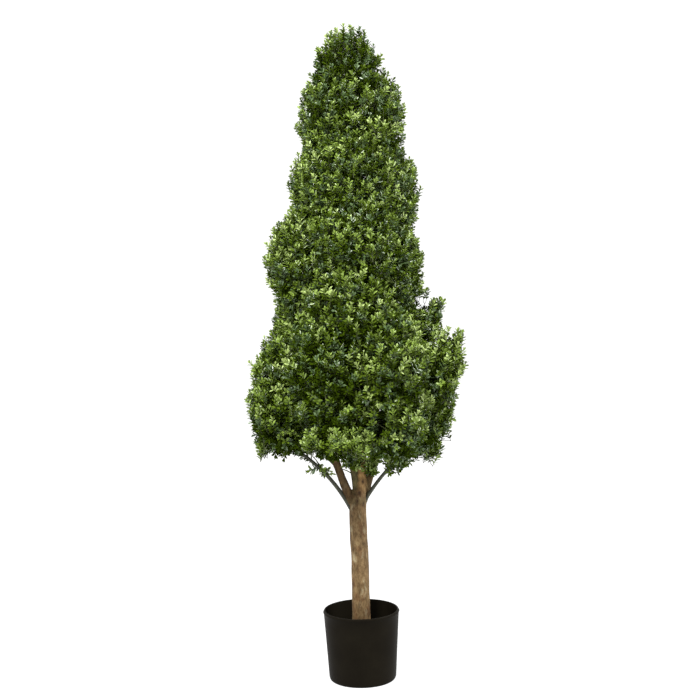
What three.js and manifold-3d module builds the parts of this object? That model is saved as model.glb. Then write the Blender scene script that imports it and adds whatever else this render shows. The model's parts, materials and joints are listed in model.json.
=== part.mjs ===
// An artificial boxwood cone tree, 1.75 m tall, standing in its plain plastic pot.
//
// Millimetres, +Z up. The origin is the centre of the pot's flat underside, the front is -Y and
// +X is to the right. One wooden trunk forks half a metre up into three limbs, a handful of wire
// stems and a leader, which runs up through the crown to its tip. The foliage is a set of masses:
// some sit on the tips of the limbs and stems, the others on short stems of their own off the trunk.
import * as THREE from "three";
import { mergeVertices } from "three/addons/utils/BufferGeometryUtils.js";
import Module from "manifold-3d";

const wasm = await Module();
wasm.setup();

// ---------------------------------------------------------------- driving dimensions
const plantHeight = 1750;
const clearance = 0.3; // the gap kept between pieces that touch

const pot = {
  height: 193,
  rimRadius: 101.5,
  baseRadius: 92,
  footRadius: 86,
  wall: 2.6,
  floor: 4,
  lipHeight: 7,
  lipOut: 1.6,
  edge: 1, // chamfer of the rim
  cornerHeight: 11, // how far up the round corner of the base reaches
  cornerRound: 0.7, // how far its middle bulges, from 0.5 for a straight slope to 1 for a square one
  sides: 36,
};
const filling = { top: 128, sides: 30 };

const fork = 497; // height at which the trunk divides
const trunk = {
  sides: 12,
  // each ring of the trunk: height, offset to the right, offset to the back, radius
  rings: [
    [filling.top + clearance, 0, 0, 25],
    [filling.top + 25, 0, 0, 24],
    [320, 0.5, 0, 23],
    [430, -2.5, 0, 22.4],
    [fork - 10, -2, 0, 22.2],
    [fork + 16, 3, 1, 19.5],
    [fork + 52, 8, 2, 14],
    [fork + 135, 12, 3, 12.6],
    [900, 6, 3, 10.8],
    [1200, -1, 0, 8.4],
    [1480, -6, 0, 5.4],
    [1620, -9, 0, 3.4],
  ],
};

// The limbs are bare wood and the stems wrapped wire. Each leaves the trunk at the fork, and is
// drawn towards its bend on the way from foot to tip, which are [height, distance from the axis].
// azimuth is in degrees from +X towards the back, and ends holds the radius of foot and tip.
const boughs = [
  { name: "limb_left", azimuth: 184, foot: [468, 4], bend: [590, 70], tip: [770, 90], ends: [13, 9] },
  { name: "limb_right", azimuth: 20, foot: [470, 6], bend: [590, 50], tip: [770, 106], ends: [10.5, 7.5] },
  { name: "limb_front", azimuth: 220, foot: [470, 4], bend: [620, 6], tip: [730, 80], ends: [9.5, 6] },
  { name: "stem_left", azimuth: 187, foot: [470, 16], bend: [600, 94], tip: [646, 175], ends: [6, 4.2] },
  { name: "stem_right", azimuth: 352, foot: [482, 8], bend: [591, 81], tip: [636, 143], ends: [5.5, 3.8] },
  { name: "stem_back_right", azimuth: 64, foot: [474, 12], bend: [599, 61], tip: [619, 145], ends: [5.5, 3.8] },
  { name: "stem_back_left", azimuth: 138, foot: [468, 12], bend: [601, 61], tip: [612, 145], ends: [5.5, 3.8] },
];
const bough = { sides: 7, steps: 6 };

// The crown's masses, tier by tier. The space of a mass is an ellipsoid, taller than wide, whose
// outermost side lies at reach from the trunk's axis. Where two spaces meet they share a flat
// boundary. A mass with a bough grows from that bough's tip, and the others grow from the trunk.
const heightOverWidth = 1.2;
const spire = { radius: 94, lean: 7, tips: 9 };
const tiers = [
  {
    tier: "top",
    radius: 118,
    tips: 7,
    places: [
      { side: "right", azimuth: 350, reach: 161, height: 1510, radius: 124 },
      { side: "back", azimuth: 100, reach: 150, height: 1530 },
      { side: "left", azimuth: 222, reach: 139, height: 1503 },
    ],
  },
  {
    tier: "high",
    radius: 124,
    tips: 6,
    places: [
      { side: "right", azimuth: 18, reach: 196, height: 1316, radius: 139 },
      { side: "left", azimuth: 152, reach: 171, height: 1326, radius: 134 },
      { side: "front", azimuth: 264, reach: 184, height: 1354, radius: 128 },
    ],
  },
  {
    tier: "middle",
    radius: 128,
    tips: 7,
    places: [
      { side: "right", azimuth: 346, reach: 197, height: 1128, radius: 140 },
      { side: "back", azimuth: 80, reach: 214, height: 1172 },
      { side: "left", azimuth: 184, reach: 236, height: 1138, radius: 135 },
      { side: "front", azimuth: 274, reach: 216, height: 1180 },
    ],
  },
  {
    tier: "waist",
    radius: 126,
    tips: 7,
    places: [
      { side: "right", azimuth: 6, reach: 236, height: 963, radius: 104 },
      { side: "back", azimuth: 98, reach: 242, height: 1022 },
      { side: "left", azimuth: 172, reach: 232, height: 967, radius: 119 },
      { side: "front", azimuth: 264, reach: 244, height: 1016 },
    ],
  },
  {
    tier: "low",
    radius: 126,
    tips: 7,
    places: [
      { side: "right", azimuth: 356, reach: 270, height: 828, bough: "limb_right", radius: 104 },
      { side: "outer_right", azimuth: 336, reach: 304, height: 868, radius: 74, tips: 6 },
      { side: "back_right", azimuth: 56, reach: 276, height: 856 },
      { side: "back_left", azimuth: 124, reach: 278, height: 866 },
      { side: "left", azimuth: 184, reach: 286, height: 834, bough: "limb_left", radius: 118 },
      { side: "front_left", azimuth: 242, reach: 274, height: 864 },
      { side: "front_right", azimuth: 298, reach: 278, height: 872 },
    ],
  },
  {
    tier: "skirt",
    radius: 116,
    tips: 7,
    places: [
      { side: "right", azimuth: 354, reach: 256, height: 744, bough: "stem_right", radius: 112 },
      { side: "back_right", azimuth: 60, reach: 266, height: 736, bough: "stem_back_right" },
      { side: "back_left", azimuth: 124, reach: 268, height: 736, bough: "stem_back_left" },
      { side: "left", azimuth: 186, reach: 310, height: 743, bough: "stem_left", radius: 103 },
      { side: "front_left", azimuth: 246, reach: 262, height: 752, bough: "limb_front", radius: 107 },
      { side: "front_right", azimuth: 302, reach: 256, height: 745, radius: 110 },
    ],
  },
];
const spaceMargin = 0.4; // from each boundary that two spaces share
const core = { share: 0.86, roughness: 0.05 }; // share of the way from a mass's heart to its outside
// The lengths in stem below sides and steps are shares of its mass's radius.
const stem = {
  radius: 4.2,
  tipRadius: 2.4,
  sides: 5,
  steps: 4,
  rootBelow: 0.55, // the heart, where it leaves the trunk
  sag: 0.08,
  onward: 0.2, // run straight on from a bough's tip
  end: 0.45, // past the heart
  slope: 41, // degrees above level, past the heart
};
const twig = { radius: 2.4, tipRadius: 1.3, forkAt: 0.5, sunk: 0.04 };
const leaf = {
  length: 34,
  width: 21,
  thickness: 1.8,
  widest: 0.5,
  cup: 2.2,
  rooted: 0.16,
  pairBelow: 0.1,
  spread: 42,
};
const directionCount = 90; // the directions over a whole mass from which its tips are chosen
const firstSeed = 101;
const plainTrunk = { sides: 6, clearance: 1.5 }; // the wider trunk that cores and leaves keep clear of

const colours = {
  pot: 0x1c1b19,
  filling: 0x14120f,
  wood: 0x8a6a48,
  wire: 0x39402a,
  foliage: 0x3f6420,
};

// ---------------------------------------------------------------- small tools
const up = new THREE.Vector3(0, 0, 1);
const sideways = new THREE.Vector3(1, 0, 0);

/** A repeatable source of numbers from 0 to 1. */
function seeded(seed) {
  let state = seed >>> 0;
  return () => {
    state = (state + 0x6d2b79f5) >>> 0;
    let mixed = Math.imul(state ^ (state >>> 15), state | 1);
    mixed ^= mixed + Math.imul(mixed ^ (mixed >>> 7), mixed | 61);
    return ((mixed ^ (mixed >>> 14)) >>> 0) / 2 ** 32;
  };
}

/** The point at this azimuth in degrees, this far from the Z axis, at this height. */
function polar(azimuth, distance, height) {
  const turn = THREE.MathUtils.degToRad(azimuth);
  return new THREE.Vector3(distance * Math.cos(turn), distance * Math.sin(turn), height);
}

function middleOf(points) {
  const sum = points.reduce((total, point) => total.add(point), new THREE.Vector3());
  return sum.divideScalar(points.length);
}

function solidOf(geometry) {
  const bare = geometry.clone();
  bare.deleteAttribute("normal");
  bare.deleteAttribute("uv");
  const merged = mergeVertices(bare, 1e-3);
  return new wasm.Manifold(
    new wasm.Mesh({
      numProp: 3,
      vertProperties: merged.attributes.position.array,
      triVerts: new Uint32Array(merged.index.array),
    }),
  );
}

function geometryOf(solid) {
  const mesh = solid.getMesh();
  const geometry = new THREE.BufferGeometry();
  geometry.setAttribute("position", new THREE.BufferAttribute(mesh.vertProperties, 3));
  geometry.setIndex(new THREE.BufferAttribute(mesh.triVerts, 1));
  return geometry;
}

function joined(solids) {
  return solids.reduce((whole, solid) => whole.add(solid));
}

function cutClear(solid, obstacles) {
  return obstacles.reduce((left, obstacle) => left.subtract(obstacle), solid);
}

/** Drops every scrap that isn't connected to the largest piece. */
function largestPiece(solid) {
  return solid.decompose().reduce((best, piece) => (piece.volume() > best.volume() ? piece : best));
}

/** A closed skin over rings of equal count, the first ring at the foot and the last at the tip. */
function skinned(rings) {
  const sides = rings[0].length;
  const indices = [];
  for (let i = 0; i < rings.length - 1; i += 1) {
    for (let j = 0; j < sides; j += 1) {
      const a = i * sides + j;
      const b = i * sides + ((j + 1) % sides);
      indices.push(a, b, b + sides, a, b + sides, a + sides);
    }
  }
  const last = (rings.length - 1) * sides;
  for (let j = 1; j < sides - 1; j += 1) {
    indices.push(0, j + 1, j, last, last + j, last + j + 1);
  }
  const geometry = new THREE.BufferGeometry().setFromPoints(rings.flat());
  geometry.setIndex(indices);
  return geometry;
}

/** A limb of round section along a curve. radiusAt gives its radius from 0 at the foot to 1 at the tip. */
function limb(curve, radiusAt, sides, steps) {
  const frames = curve.computeFrenetFrames(steps, false);
  const rings = [];
  for (let i = 0; i <= steps; i += 1) {
    const centre = curve.getPointAt(i / steps);
    const ring = [];
    for (let j = 0; j < sides; j += 1) {
      const turn = (2 * Math.PI * j) / sides;
      const across = frames.normals[i].clone().multiplyScalar(Math.cos(turn));
      across.addScaledVector(frames.binormals[i], Math.sin(turn));
      ring.push(centre.clone().addScaledVector(across, radiusAt(i / steps)));
    }
    rings.push(ring);
  }
  return skinned(rings);
}

/** A straight three-sided twig. */
function twigSolid(from, to, radius, tipRadius) {
  const line = new THREE.LineCurve3(from, to);
  return solidOf(limb(line, (t) => THREE.MathUtils.lerp(radius, tipRadius, t), 3, 1));
}

// ---------------------------------------------------------------- pot and filling
/** Radius of the pot's outside at a height above its round corner. */
function potOutside(height) {
  const share = (height - pot.cornerHeight) / (pot.height - pot.cornerHeight);
  return THREE.MathUtils.lerp(pot.baseRadius, pot.rimRadius, share);
}

function lathe(profile, sides) {
  const outline = profile.map(([radius, height]) => new THREE.Vector2(radius, height));
  return new THREE.LatheGeometry(outline, sides).rotateX(Math.PI / 2);
}

function potGeometry() {
  const { height, rimRadius, baseRadius, footRadius, cornerHeight, cornerRound } = pot;
  const { wall, floor, lipHeight, lipOut, edge } = pot;
  const lipFoot = height - lipHeight;
  const profile = [
    [0, 0],
    [footRadius, 0],
    [THREE.MathUtils.lerp(footRadius, baseRadius, cornerRound), (1 - cornerRound) * cornerHeight],
    [baseRadius, cornerHeight],
    [potOutside(lipFoot), lipFoot],
    [potOutside(lipFoot) + lipOut, lipFoot + lipOut],
    [rimRadius + lipOut, height - edge],
    [rimRadius + lipOut - edge, height],
    [rimRadius - wall, height],
    [baseRadius - wall, cornerHeight],
    [footRadius - wall, floor],
    [0, floor],
  ];
  return lathe(profile, pot.sides);
}

/** The weight that fills the pot. It stands clear of the wall and the floor all round. */
function fillingGeometry() {
  const gap = pot.wall + 2 * clearance;
  const profile = [
    [0, pot.floor + clearance],
    [pot.footRadius - gap, pot.floor + clearance],
    [pot.baseRadius - gap, pot.cornerHeight + clearance],
    [potOutside(filling.top) - gap, filling.top],
    [0, filling.top],
  ];
  return lathe(profile, filling.sides);
}

// ---------------------------------------------------------------- trunk and boughs
const trunkTop = trunk.rings.at(-1)[0];

/** The trunk's axis at a height. Above its tip the tip's own axis goes on. */
function trunkAxis(height) {
  const next = trunk.rings.findIndex(([ringHeight]) => ringHeight >= height);
  const [topHeight, topRight, topBack] = trunk.rings.at(next);
  const [lowHeight, lowRight, lowBack] = trunk.rings.at(Math.max(next - 1, 0));
  const share = next < 0 ? 1 : (height - lowHeight) / (topHeight - lowHeight);
  return new THREE.Vector3(
    THREE.MathUtils.lerp(lowRight, topRight, share),
    THREE.MathUtils.lerp(lowBack, topBack, share),
    height,
  );
}

/** The trunk, or its outline grown by a clearance, drawn with that many sides. */
function trunkSolid(grown = 0, sides = trunk.sides) {
  const rings = trunk.rings.map(([height, right, back, radius], i) => {
    const rise = i === trunk.rings.length - 1 ? grown : 0;
    const corner = (radius + grown) / Math.cos(Math.PI / sides);
    return Array.from({ length: sides }, (_, j) => {
      const point = polar((360 * j) / sides, corner, height + rise);
      return point.add(new THREE.Vector3(right, back, 0));
    });
  });
  return solidOf(skinned(rings));
}

/** A bough's line, which bends over on its way from foot to tip. */
function boughCurve({ azimuth, foot, bend, tip }) {
  const axis = trunkAxis(fork).setZ(0);
  const stations = [foot, bend, tip];
  const points = stations.map(([height, distance]) => polar(azimuth, distance, height).add(axis));
  return new THREE.QuadraticBezierCurve3(...points);
}

function boughSolid(place, grown = 0) {
  const [foot, tip] = place.ends;
  const growth = grown / Math.cos(Math.PI / bough.sides);
  const radiusAt = (t) => THREE.MathUtils.lerp(foot, tip, t) + growth;
  return solidOf(limb(boughCurve(place), radiusAt, bough.sides, bough.steps));
}

// ---------------------------------------------------------------- the spaces of the masses
const masses = tiers.flatMap(({ tier, places, ...size }) =>
  places.map(({ side, ...place }) => ({ name: `${tier}_${side}`, ...size, ...place })),
);
masses.unshift({
  name: "spire",
  azimuth: 0,
  reach: spire.radius + spire.lean,
  height: plantHeight - spire.radius * heightOverWidth,
  radius: spire.radius,
  tips: spire.tips,
});

/** A point with its height squeezed, so that each ellipsoid becomes a sphere. */
function squeezed(point) {
  return new THREE.Vector3(point.x, point.y, point.z / heightOverWidth);
}

/** The flat boundaries between a mass and its neighbours, as seen from its heart in squeezed space. */
function boundariesOf(mass) {
  const boundaries = masses
    .filter((other) => other !== mass)
    .map((other) => {
      const away = squeezed(other.heart).sub(squeezed(mass.heart));
      const distance = away.length();
      const limit = (distance ** 2 + mass.radius ** 2 - other.radius ** 2) / (2 * distance);
      return { normal: away.normalize(), limit: limit - spaceMargin };
    });
  return boundaries.filter(({ limit }) => limit < mass.radius);
}

for (const mass of masses) {
  const axis = trunkAxis(Math.min(mass.height, trunkTop)).setZ(0);
  mass.heart = polar(mass.azimuth, mass.reach - mass.radius, mass.height).add(axis);
  mass.outward = mass.name === "spire" ? up : polar(mass.azimuth, 1, 0);
}
for (const mass of masses) {
  mass.boundaries = boundariesOf(mass);
}

/** How far a ray from the heart runs to the ellipsoid, and to the nearest neighbour's boundary. */
function reachAlong(mass, direction) {
  const ray = squeezed(direction);
  const toNeighbours = mass.boundaries
    .filter(({ normal }) => normal.dot(ray) > 0)
    .map(({ normal, limit }) => limit / normal.dot(ray));
  return { outside: mass.radius / ray.length(), neighbour: Math.min(...toNeighbours) };
}

function isInside(mass, point) {
  const offset = squeezed(point).sub(squeezed(mass.heart));
  const rounding = 0.01;
  const inEllipsoid = offset.length() <= mass.radius + rounding;
  return inEllipsoid && mass.boundaries.every(({ normal, limit }) => normal.dot(offset) <= limit);
}

// ---------------------------------------------------------------- growing one mass of foliage
/** A leaf's corners: its tip, its root sunk in the twig, its two sides, its top and its bottom. */
function leafCorners(root, along, face) {
  const side = new THREE.Vector3().crossVectors(face, along).normalize();
  const normal = new THREE.Vector3().crossVectors(along, side).normalize();
  const at = (forward, across, height) =>
    root
      .clone()
      .addScaledVector(along, leaf.length * forward)
      .addScaledVector(side, leaf.width * across)
      .addScaledVector(normal, height);
  return [
    at(1, 0, 0),
    at(-leaf.rooted, 0, 0),
    at(leaf.widest, 0.5, leaf.cup),
    at(leaf.widest, -0.5, leaf.cup),
    at(leaf.widest, 0, leaf.thickness / 2),
    at(leaf.widest, 0, -leaf.thickness / 2),
  ];
}

/** A leaf of eight faces: an octahedron whose corners are moved to the leaf's. */
function leafSolid(corners) {
  const geometry = new THREE.OctahedronGeometry(1);
  const position = geometry.getAttribute("position");
  for (let i = 0; i < position.count; i += 1) {
    const axis = [0, 1, 2].find((k) => Math.abs(position.getComponent(i, k)) > 0.5);
    const corner = corners[2 * axis + (position.getComponent(i, axis) > 0 ? 0 : 1)];
    position.setXYZ(i, corner.x, corner.y, corner.z);
  }
  return solidOf(geometry);
}

/** The leaves at the end of a twiglet: one at its tip, and an opposite pair just below. */
function spray(tip, along, random) {
  const across = new THREE.Vector3().crossVectors(along, Math.abs(along.z) > 0.9 ? sideways : up);
  across.normalize().applyAxisAngle(along, random() * Math.PI);
  const pairAxis = new THREE.Vector3().crossVectors(along, across);
  const pairRoot = tip.clone().addScaledVector(along, -leaf.pairBelow * leaf.length);
  const spread = THREE.MathUtils.degToRad(leaf.spread);
  return [
    leafCorners(tip, along, across),
    leafCorners(pairRoot, along.clone().applyAxisAngle(pairAxis, spread), along),
    leafCorners(pairRoot, along.clone().applyAxisAngle(pairAxis, -spread), along),
  ];
}

/** Cuts a solid back to this mass's side of a flat boundary. */
function cutBack(solid, mass, { normal, limit }) {
  const facing = new THREE.Vector3(normal.x, normal.y, normal.z / heightOverWidth);
  const distance = limit / facing.length();
  const size = 4 * mass.radius; // wider than the mass from any side
  const block = new THREE.BoxGeometry(size, size, size);
  block.translate(0, 0, size / 2 + distance);
  block.applyQuaternion(new THREE.Quaternion().setFromUnitVectors(up, facing.normalize()));
  block.translate(mass.heart.x, mass.heart.y, mass.heart.z);
  return solid.subtract(solidOf(block));
}

/** The dense inside of a mass: a rough lump within its boundaries. */
function coreSolid(mass, random) {
  const bare = new THREE.IcosahedronGeometry(1, 1).deleteAttribute("normal").deleteAttribute("uv");
  const lump = mergeVertices(bare);
  const position = lump.getAttribute("position");
  const point = new THREE.Vector3();
  for (let i = 0; i < position.count; i += 1) {
    const reach = mass.radius * core.share * (1 + core.roughness * (2 * random() - 1));
    point.fromBufferAttribute(position, i).setLength(reach);
    point.z *= heightOverWidth;
    point.add(mass.heart);
    position.setXYZ(i, point.x, point.y, point.z);
  }
  return mass.boundaries.reduce((left, boundary) => cutBack(left, mass, boundary), solidOf(lump));
}

/** Directions spread evenly over the sides of a mass that no neighbour covers. */
function openDirections(mass, random) {
  const firstTurn = random() * 2 * Math.PI;
  const goldenAngle = Math.PI * (3 - Math.sqrt(5));
  const open = [];
  for (let i = 0; i < directionCount; i += 1) {
    const rise = 1 - (2 * i + 1) / directionCount;
    const flat = Math.sqrt(1 - rise * rise);
    const turn = firstTurn + i * goldenAngle;
    const direction = new THREE.Vector3(flat * Math.cos(turn), flat * Math.sin(turn), rise);
    const { outside, neighbour } = reachAlong(mass, direction);
    if (neighbour > outside) open.push(direction);
  }
  const chosen = [mass.outward.clone()];
  while (chosen.length < mass.tips) {
    const distances = open.map((one) => Math.min(...chosen.map((other) => one.angleTo(other))));
    chosen.push(open[distances.indexOf(Math.max(...distances))]);
  }
  return chosen;
}

/** Pairs each direction with the nearest one still free: the twiglets of a pair share one twig. */
function paired(directions) {
  const free = [...directions];
  const pairs = [];
  while (free.length > 1) {
    const first = free.shift();
    const angles = free.map((other) => first.angleTo(other));
    pairs.push([first, ...free.splice(angles.indexOf(Math.min(...angles)), 1)]);
  }
  return free.length ? [...pairs, free] : pairs;
}

/** The line of a mass's stem: from its bough's tip or the trunk, through the heart and on outwards. */
function stemCurve(mass) {
  const slope = THREE.MathUtils.degToRad(stem.slope);
  const rising = mass.outward.clone().multiplyScalar(Math.cos(slope));
  rising.addScaledVector(up, Math.sin(slope)).normalize();
  const end = mass.heart.clone().addScaledVector(rising, stem.end * mass.radius);
  if (mass.bough) {
    const carrier = boughCurve(boughs.find(({ name }) => name === mass.bough));
    const along = carrier.getTangentAt(1);
    const start = carrier.getPointAt(1).addScaledVector(along, clearance);
    const onward = start.clone().addScaledVector(along, stem.onward * mass.radius);
    return new THREE.CatmullRomCurve3([start, onward, mass.heart, end]);
  }
  if (mass.name === "spire") {
    return new THREE.CatmullRomCurve3([trunkAxis(trunkTop + clearance), mass.heart, end]);
  }
  const start = trunkAxis(mass.height - stem.rootBelow * mass.radius);
  const middle = start.clone().lerp(mass.heart, 0.5).addScaledVector(up, -stem.sag * mass.radius);
  return new THREE.CatmullRomCurve3([start, middle, mass.heart, end]);
}

function stemSolid(mass, grown = 0) {
  const growth = grown / Math.cos(Math.PI / stem.sides);
  const radiusAt = (t) => THREE.MathUtils.lerp(stem.radius, stem.tipRadius, t) + growth;
  return solidOf(limb(stemCurve(mass), radiusAt, stem.sides, stem.steps));
}

/** Grows one mass: its stem, core, forked twigs and leaves, in its space and clear of the obstacles. */
function massSolid(mass, seed, stemPiece, obstacles) {
  const random = seeded(seed);
  const parts = [stemPiece, largestPiece(cutClear(coreSolid(mass, random), obstacles))];
  const isClear = (solid) => obstacles.every((obstacle) => solid.intersect(obstacle).isEmpty());
  const twigRoot = mass.heart;
  for (const pair of paired(openDirections(mass, random))) {
    const ends = pair.map((direction) => {
      const { outside } = reachAlong(mass, direction);
      return mass.heart.clone().addScaledVector(direction, outside - leaf.length);
    });
    const twigFork = twigRoot.clone().lerp(middleOf(ends), twig.forkAt);
    const main = twigSolid(twigRoot, twigFork, twig.radius, twig.radius);
    if (!isClear(main)) continue;
    parts.push(main);
    pair.forEach((direction, i) => {
      const start = twigFork.clone().lerp(twigRoot, twig.sunk);
      const twiglet = twigSolid(start, ends[i], twig.radius, twig.tipRadius);
      if (!isClear(twiglet)) return;
      parts.push(twiglet);
      for (const corners of spray(ends[i], direction, random)) {
        const blade = leafSolid(corners);
        if (corners.every((corner) => isInside(mass, corner)) && isClear(blade)) parts.push(blade);
      }
    });
  }
  return largestPiece(joined(parts));
}

// ---------------------------------------------------------------- assembly
const materials = {
  pot: new THREE.MeshStandardMaterial({ color: colours.pot, roughness: 0.45, metalness: 0 }),
  filling: new THREE.MeshStandardMaterial({ color: colours.filling, roughness: 0.95, metalness: 0 }),
  wood: new THREE.MeshStandardMaterial({ color: colours.wood, roughness: 0.8, metalness: 0 }),
  wire: new THREE.MeshStandardMaterial({ color: colours.wire, roughness: 0.6, metalness: 0 }),
  foliage: new THREE.MeshStandardMaterial({ color: colours.foliage, roughness: 0.4, metalness: 0 }),
};

function piece(name, geometry, material) {
  const mesh = new THREE.Mesh(geometry, material);
  mesh.name = name;
  return mesh;
}

const planter = new THREE.Group();
planter.add(piece("pot", potGeometry(), materials.pot));
planter.add(piece("pot_filling", fillingGeometry(), materials.filling));

const woodwork = new THREE.Group();
woodwork.add(piece("trunk", geometryOf(trunkSolid()), materials.wood));

// Each bough is cut clear of the trunk and of the boughs before it.
const limbsGrown = [trunkSolid(clearance)];
for (const place of boughs) {
  const solid = largestPiece(cutClear(boughSolid(place), limbsGrown));
  const material = place.name.startsWith("limb") ? materials.wood : materials.wire;
  woodwork.add(piece(place.name, geometryOf(solid), material));
  limbsGrown.push(boughSolid(place, clearance));
}

// Each stem is cut clear of the limbs, and everything else in its mass keeps clear of them too.
const crown = new THREE.Group();
const stems = masses.map((mass) => largestPiece(cutClear(stemSolid(mass), limbsGrown)));
const stemsGrown = masses.map((mass) => stemSolid(mass, clearance));
const trunkGrown = trunkSolid(plainTrunk.clearance, plainTrunk.sides);
masses.forEach((mass, index) => {
  const otherStems = stemsGrown.filter((_, i) => i !== index);
  const obstacles = [trunkGrown, ...limbsGrown.slice(1), ...otherStems];
  const solid = massSolid(mass, firstSeed + index, stems[index], obstacles);
  crown.add(piece(`foliage_${mass.name}`, geometryOf(solid), materials.foliage));
});

const tree = new THREE.Group();
tree.add(planter, woodwork, crown);

export default tree;
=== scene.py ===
# The looks of an artificial boxwood cone tree in its plastic pot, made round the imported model.
# Metres, +Z up. The front is -Y, and the pot stands on z = 0.
import itertools
import json
import math

import bpy
import numpy as np
from mathutils import Matrix, Vector, kdtree, noise

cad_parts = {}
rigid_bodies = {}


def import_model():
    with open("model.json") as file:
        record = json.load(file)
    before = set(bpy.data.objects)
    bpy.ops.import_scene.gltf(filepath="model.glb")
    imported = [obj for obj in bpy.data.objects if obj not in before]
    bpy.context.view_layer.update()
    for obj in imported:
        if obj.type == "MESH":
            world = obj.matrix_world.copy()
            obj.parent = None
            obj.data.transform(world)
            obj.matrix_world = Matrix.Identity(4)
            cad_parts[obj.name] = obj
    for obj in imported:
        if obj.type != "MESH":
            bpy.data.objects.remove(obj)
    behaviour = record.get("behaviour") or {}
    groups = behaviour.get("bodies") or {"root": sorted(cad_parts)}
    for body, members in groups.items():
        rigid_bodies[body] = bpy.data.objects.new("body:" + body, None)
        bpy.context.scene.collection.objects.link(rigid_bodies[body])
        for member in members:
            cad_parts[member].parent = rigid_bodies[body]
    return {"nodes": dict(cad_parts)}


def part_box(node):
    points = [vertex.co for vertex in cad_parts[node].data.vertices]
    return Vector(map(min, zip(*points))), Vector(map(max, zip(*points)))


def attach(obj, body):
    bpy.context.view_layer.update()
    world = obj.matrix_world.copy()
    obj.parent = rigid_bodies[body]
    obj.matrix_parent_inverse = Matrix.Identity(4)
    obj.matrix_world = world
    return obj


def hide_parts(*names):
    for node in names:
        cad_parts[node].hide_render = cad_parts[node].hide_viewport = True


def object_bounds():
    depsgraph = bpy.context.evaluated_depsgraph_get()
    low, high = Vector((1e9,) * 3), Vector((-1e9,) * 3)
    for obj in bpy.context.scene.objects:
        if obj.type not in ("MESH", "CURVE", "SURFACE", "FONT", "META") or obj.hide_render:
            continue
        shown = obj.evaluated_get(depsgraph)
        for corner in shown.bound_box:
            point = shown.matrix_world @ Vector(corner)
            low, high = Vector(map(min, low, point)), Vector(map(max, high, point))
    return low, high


for unused in list(bpy.data.objects):
    bpy.data.objects.remove(unused)
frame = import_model()
cadBox = [list(corner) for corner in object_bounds()]
nodeNames = sorted(frame["nodes"])
limbs = [name for name in nodeNames if name.startswith("limb_")]
stems = [name for name in nodeNames if name.startswith("stem_")]
masses = [name.removeprefix("foliage_") for name in nodeNames if name.startswith("foliage_")]
upward = np.array([0.0, 0.0, 1.0])


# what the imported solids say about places
reading = {
    "clearOfCut": 0.0015,  # a limb's corners nearer the trunk than this lie on the cut along it
    "tipCorners": 7,
    "rounds": 60,
    "rootShare": -0.03,  # how far a limb's line runs on into the trunk
    "stations": 60,
}


def coordinates(mesh):
    points = np.empty(3 * len(mesh.vertices))
    mesh.vertices.foreach_get("co", points)
    return points.reshape(-1, 3)


def pointsOf(node):
    return np.unique(coordinates(frame["nodes"][node].data).round(6), axis=0)


def lengths(vectors):
    return np.linalg.norm(vectors, axis=-1)


def unit(vectors):
    return vectors / lengths(vectors)[..., None]


def ringsOf(node):
    # centre and radius of each level ring of a turned or tapering solid, from the bottom up
    points = pointsOf(node)
    rings = []
    for height in np.unique(points[:, 2].round(4)):
        ring = points[abs(points[:, 2] - height) < 1e-4]
        centre = (ring.min(0) + ring.max(0)) / 2
        rings.append([*centre, lengths(ring - centre).max()])
    return np.array(rings)


trunkRings = ringsOf("trunk")
trunkFoot, trunkTop = trunkRings[0, 2], trunkRings[-1, 2]
forkFoot = min(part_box(name)[0][2] for name in limbs)


def trunkAt(height):
    across = [np.interp(height, trunkRings[:, 2], trunkRings[:, axis]) for axis in (0, 1)]
    return np.array([*across, height])


def trunkLine(stations):
    heights = np.linspace(trunkFoot, trunkTop, stations)
    line = np.array([trunkAt(height) for height in heights])
    return line, np.interp(heights, trunkRings[:, 2], trunkRings[:, 3])


def limbLine(node, stations):
    # the bending middle line of a limb's solid and its radius there. Corners that lie on the cut
    # along the trunk are left out, and the rest lie on the limb's own round
    points = pointsOf(node)
    start = trunkAt(points[:, 2].min())
    middles = np.array([trunkAt(height) for height in points[:, 2]])
    trunkRadii = np.interp(points[:, 2], trunkRings[:, 2], trunkRings[:, 3])
    points = points[lengths(points - middles) > trunkRadii + reading["clearOfCut"]]
    reach = lengths(points - start)
    chord = points[np.argsort(reach)[-reading["tipCorners"] :]].mean(0) - start
    along = (points - start) @ chord / (chord @ chord)
    powers = np.stack([along**2, along, np.ones(len(along))], 1)
    centres = points
    for _ in range(reading["rounds"]):
        bend = np.linalg.lstsq(powers, centres, rcond=None)[0]
        offsets = points - powers @ bend
        away = lengths(offsets)
        taper = np.polyfit(along, away, 1)
        centres = points - offsets * (np.polyval(taper, along) / away)[:, None]
    shares = np.linspace(reading["rootShare"], 1, stations)
    return np.stack([shares**2, shares, np.ones(stations)], 1) @ bend, np.polyval(taper, shares)


def placesOn(limb, shares):
    # the places at these shares of a limb's length
    line = limbLine(limb, reading["stations"])[0]
    at = np.linspace(reading["rootShare"], 1, reading["stations"])
    return np.stack([np.interp(shares, at, line[:, axis]) for axis in range(3)], -1)


def shown(name, data):
    piece = bpy.data.objects.new(name, data)
    bpy.context.scene.collection.objects.link(piece)
    return piece


def newPiece(name, vertices, faces, *materials):
    mesh = bpy.data.meshes.new(name)
    mesh.from_pydata(vertices, [], faces)
    for material in materials:
        mesh.materials.append(material)
    mesh.shade_smooth()
    return shown(name, mesh)


def plainMesh(worker, name):
    # the evaluated result of an object's modifiers as a plain piece, in the object's place
    depsgraph = bpy.context.evaluated_depsgraph_get()
    mesh = bpy.data.meshes.new_from_object(worker.evaluated_get(depsgraph))
    bpy.data.objects.remove(worker)
    mesh.name = name
    return shown(name, mesh)


def setAttribute(mesh, name, kind, values):
    layer = mesh.attributes.new(name, kind, "POINT")
    layer.data.foreach_set("vector" if kind == "FLOAT_VECTOR" else "value", values)


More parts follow.
